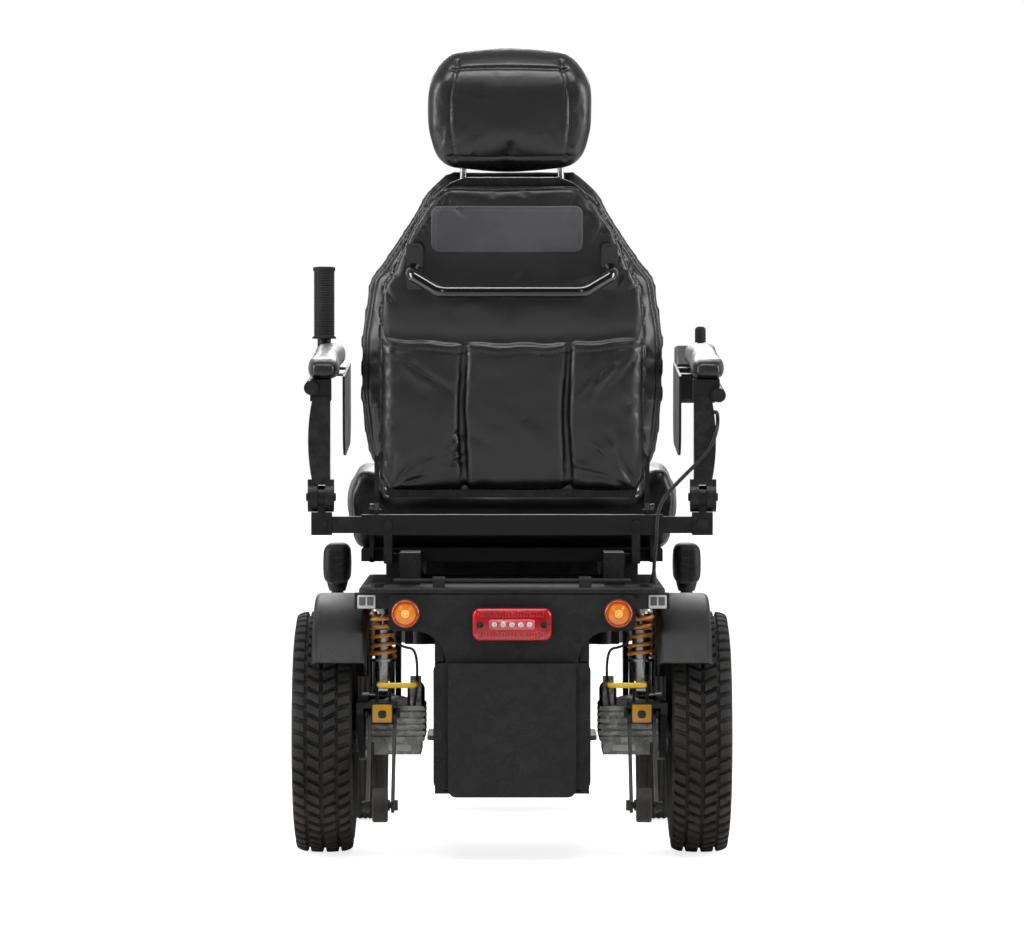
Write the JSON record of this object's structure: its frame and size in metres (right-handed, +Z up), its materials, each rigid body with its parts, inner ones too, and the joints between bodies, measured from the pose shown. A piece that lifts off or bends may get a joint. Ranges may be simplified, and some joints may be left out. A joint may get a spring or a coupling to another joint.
{
  "type": "power wheelchair",
  "caption": "Rear-wheel-drive power wheelchair with a padded reclining backrest, headrest, flip-up armrests, joystick and sprung drive wheels.",
  "frame": {"origin": "on the ground, at the middle of the chair's box", "axes": "+Y the way the chair drives, +X its right-hand side, +Z up"},
  "size_m": [0.64, 1.215, 1.1781],
  "materials": {
    "tyre_rubber": "matte dusty moulded rubber with block tread",
    "frame_black": "satin black powder coat",
    "rim_black": "black painted wheel rim",
    "cast_grey": "sand-cast aluminium",
    "steel": "bright zinc-plated steel",
    "spring_orange": "orange enamelled spring steel",
    "lever_yellow": "yellow coated steel rod",
    "plastic_black": "pebbled black moulded plastic",
    "panel_black": "fine-textured dark grey sheet",
    "lens_red": "red moulded lens",
    "leather_black": "smooth black synthetic leather",
    "grip_rubber": "soft black rubber",
    "battery_case": "battery case",
    "cable_black": "dark cable sheath",
    "handle_gloss": "gloss black tube",
    "button_grey": "button cap"
  },
  "bodies": {
    "chassis": {"arm_crossbar": "frame_black", "base_frame": "frame_black", "base_lid": "panel_black", "batteries": "battery_case", "battery_tray": "frame_black", "cover_screws": "frame_black", "fenders": "plastic_black", "front_lamps": "plastic_black", "joystick_lead_base": "cable_black", "motor_controller": "frame_black", "rear_cover": "panel_black", "rear_lamps": "lens_red", "rear_plate": "panel_black", "seat_cushion": "leather_black", "seat_frame": "frame_black"},
    "swing_arm_left": {"swing_arm_left": "frame_black", "gear_motor_left": "cast_grey"},
    "drive_wheel_left": {"drive_tyre_left": "tyre_rubber", "drive_rim_left": "rim_black"},
    "shock_rod_left": {"shock_rod_left": "steel", "shock_spring_left": "spring_orange"},
    "shock_damper_left": {"shock_damper_left": "steel"},
    "brake_lever_left": {"brake_lever_left": "lever_yellow"},
    "anti_tip_wheel_left": {"anti_tip_wheel_left": "tyre_rubber"},
    "caster_fork_left": {"caster_fork_left": "frame_black"},
    "caster_wheel_left": {"caster_wheel_left": "tyre_rubber"},
    "swing_arm_right": {"swing_arm_right": "frame_black", "gear_motor_right": "cast_grey"},
    "drive_wheel_right": {"drive_tyre_right": "tyre_rubber", "drive_rim_right": "rim_black"},
    "shock_rod_right": {"shock_rod_right": "steel", "shock_spring_right": "spring_orange"},
    "shock_damper_right": {"shock_damper_right": "steel"},
    "brake_lever_right": {"brake_lever_right": "lever_yellow"},
    "anti_tip_wheel_right": {"anti_tip_wheel_right": "tyre_rubber"},
    "caster_fork_right": {"caster_fork_right": "frame_black"},
    "caster_wheel_right": {"caster_wheel_right": "tyre_rubber"},
    "backrest": {"backrest_frame": "frame_black", "backrest_cushion": "leather_black", "back_panel": "leather_black", "push_handle": "handle_gloss"},
    "headrest": {"headrest_pad": "leather_black", "headrest_posts": "steel"},
    "armrest_left": {"arm_frame_left": "frame_black", "arm_pad_left": "leather_black", "side_guard_left": "plastic_black", "hand_grip": "grip_rubber"},
    "armrest_right": {"arm_frame_right": "frame_black", "arm_pad_right": "leather_black", "side_guard_right": "plastic_black", "joystick_box": "plastic_black", "joystick_lead_arm": "cable_black"},
    "gimbal": {"gimbal_ring": "steel"},
    "joystick": {"joystick_stick": "grip_rubber"},
    "button_1": {"joystick_button_1": "button_grey"},
    "button_2": {"joystick_button_2": "button_grey"},
    "button_3": {"joystick_button_3": "button_grey"},
    "legrest": {"legrest": "frame_black"},
    "footplate": {"footplate": "frame_black"}
  },
  "joints": [
    {"name": "suspension_left", "type": "hinge", "parent": "chassis", "child": "swing_arm_left", "pos_m": [-0.2, -0.1725, 0.2], "axis": [-1, 0, 0], "range_deg": [0, 4], "stiffness_Nm_per_rad": 900, "springref_deg": -5.73},
    {"name": "drive_wheel_left", "type": "hinge", "parent": "swing_arm_left", "child": "drive_wheel_left", "pos_m": [-0.276, -0.3425, 0.178], "axis": [1, 0, 0], "continuous": true},
    {"name": "shock_tilt_left", "type": "hinge", "parent": "chassis", "child": "shock_rod_left", "pos_m": [-0.1877, -0.4375, 0.374], "axis": [1, 0, 0], "range_deg": [0, 2.3]},
    {"name": "shock_stroke_left", "type": "slide", "parent": "shock_rod_left", "child": "shock_damper_left", "axis": [0, 0, 1], "range_m": [0, 0.0188], "deforming": ["shock_spring_left"]},
    {"name": "brake_release_left", "type": "hinge", "parent": "swing_arm_left", "child": "brake_lever_left", "pos_m": [-0.141, -0.4425, 0.256], "axis": [0, 1, 0], "range_deg": [0, 30]},
    {"name": "anti_tip_wheel_left", "type": "hinge", "parent": "swing_arm_left", "child": "anti_tip_wheel_left", "pos_m": [-0.1885, -0.583, 0.09], "axis": [1, 0, 0], "continuous": true},
    {"name": "caster_swivel_left", "type": "hinge", "parent": "chassis", "child": "caster_fork_left", "pos_m": [-0.233, 0.2375, 0.3], "axis": [0, 0, 1], "continuous": true},
    {"name": "caster_wheel_left", "type": "hinge", "parent": "caster_fork_left", "child": "caster_wheel_left", "pos_m": [-0.233, 0.1825, 0.127], "axis": [1, 0, 0], "continuous": true},
    {"name": "armrest_flip_left", "type": "hinge", "parent": "chassis", "child": "armrest_left", "pos_m": [-0.281, -0.3525, 0.525], "axis": [1, 0, 0], "range_deg": [0, 95]},
    {"name": "suspension_right", "type": "hinge", "parent": "chassis", "child": "swing_arm_right", "pos_m": [0.2, -0.1725, 0.2], "axis": [-1, 0, 0], "range_deg": [0, 4], "stiffness_Nm_per_rad": 900, "springref_deg": -5.73},
    {"name": "drive_wheel_right", "type": "hinge", "parent": "swing_arm_right", "child": "drive_wheel_right", "pos_m": [0.276, -0.3425, 0.178], "axis": [1, 0, 0], "continuous": true},
    {"name": "shock_tilt_right", "type": "hinge", "parent": "chassis", "child": "shock_rod_right", "pos_m": [0.1877, -0.4375, 0.374], "axis": [1, 0, 0], "range_deg": [0, 2.3]},
    {"name": "shock_stroke_right", "type": "slide", "parent": "shock_rod_right", "child": "shock_damper_right", "axis": [0, 0, 1], "range_m": [0, 0.0188], "deforming": ["shock_spring_right"]},
    {"name": "brake_release_right", "type": "hinge", "parent": "swing_arm_right", "child": "brake_lever_right", "pos_m": [0.141, -0.4425, 0.256], "axis": [0, -1, 0], "range_deg": [0, 30]},
    {"name": "anti_tip_wheel_right", "type": "hinge", "parent": "swing_arm_right", "child": "anti_tip_wheel_right", "pos_m": [0.1885, -0.583, 0.09], "axis": [1, 0, 0], "continuous": true},
    {"name": "caster_swivel_right", "type": "hinge", "parent": "chassis", "child": "caster_fork_right", "pos_m": [0.233, 0.2375, 0.3], "axis": [0, 0, 1], "continuous": true},
    {"name": "caster_wheel_right", "type": "hinge", "parent": "caster_fork_right", "child": "caster_wheel_right", "pos_m": [0.233, 0.1825, 0.127], "axis": [1, 0, 0], "continuous": true},
    {"name": "armrest_flip_right", "type": "hinge", "parent": "chassis", "child": "armrest_right", "pos_m": [0.281, -0.3525, 0.525], "axis": [1, 0, 0], "range_deg": [0, 95]},
    {"name": "backrest_recline", "type": "hinge", "parent": "chassis", "child": "backrest", "pos_m": [0, -0.3125, 0.5], "axis": [1, 0, 0], "range_deg": [0, 25]},
    {"name": "headrest_height", "type": "slide", "parent": "backrest", "child": "headrest", "axis": [0, -0.1392, 0.9903], "range_m": [0, 0.05]},
    {"name": "joystick_fore_aft", "type": "hinge", "parent": "armrest_right", "child": "gimbal", "pos_m": [0.294, 0.0534, 0.739], "axis": [1, 0, 0], "range_deg": [-16, 16], "stiffness_Nm_per_rad": 0.08},
    {"name": "joystick_sideways", "type": "hinge", "parent": "gimbal", "child": "joystick", "pos_m": [0.294, 0.0534, 0.739], "axis": [0, 1, 0], "range_deg": [-16, 16], "stiffness_Nm_per_rad": 0.08},
    {"name": "button_1_press", "type": "slide", "parent": "armrest_right", "child": "button_1", "axis": [0, 0.4472, -0.8944], "range_m": [0, 0.001], "stiffness_N_per_m": 400},
    {"name": "button_2_press", "type": "slide", "parent": "armrest_right", "child": "button_2", "axis": [0, 0.4472, -0.8944], "range_m": [0, 0.001], "stiffness_N_per_m": 400},
    {"name": "button_3_press", "type": "slide", "parent": "armrest_right", "child": "button_3", "axis": [0, 0.4472, -0.8944], "range_m": [0, 0.001], "stiffness_N_per_m": 400},
    {"name": "legrest_length", "type": "slide", "parent": "chassis", "child": "legrest", "axis": [0, 0.5299, -0.848], "range_m": [-0.02, 0.04]},
    {"name": "footplate_flip", "type": "hinge", "parent": "legrest", "child": "footplate", "pos_m": [0, 0.4295, 0.108], "axis": [1, 0, 0], "range_deg": [0, 66]}
  ],
  "couplings": [
    {"joint": "shock_tilt_left", "follows": "suspension_left", "ratio": 0.518},
    {"joint": "shock_stroke_left", "follows": "suspension_left", "m_per_rad": 0.2622},
    {"joint": "shock_tilt_right", "follows": "suspension_right", "ratio": 0.518},
    {"joint": "shock_stroke_right", "follows": "suspension_right", "m_per_rad": 0.2622}
  ]
}
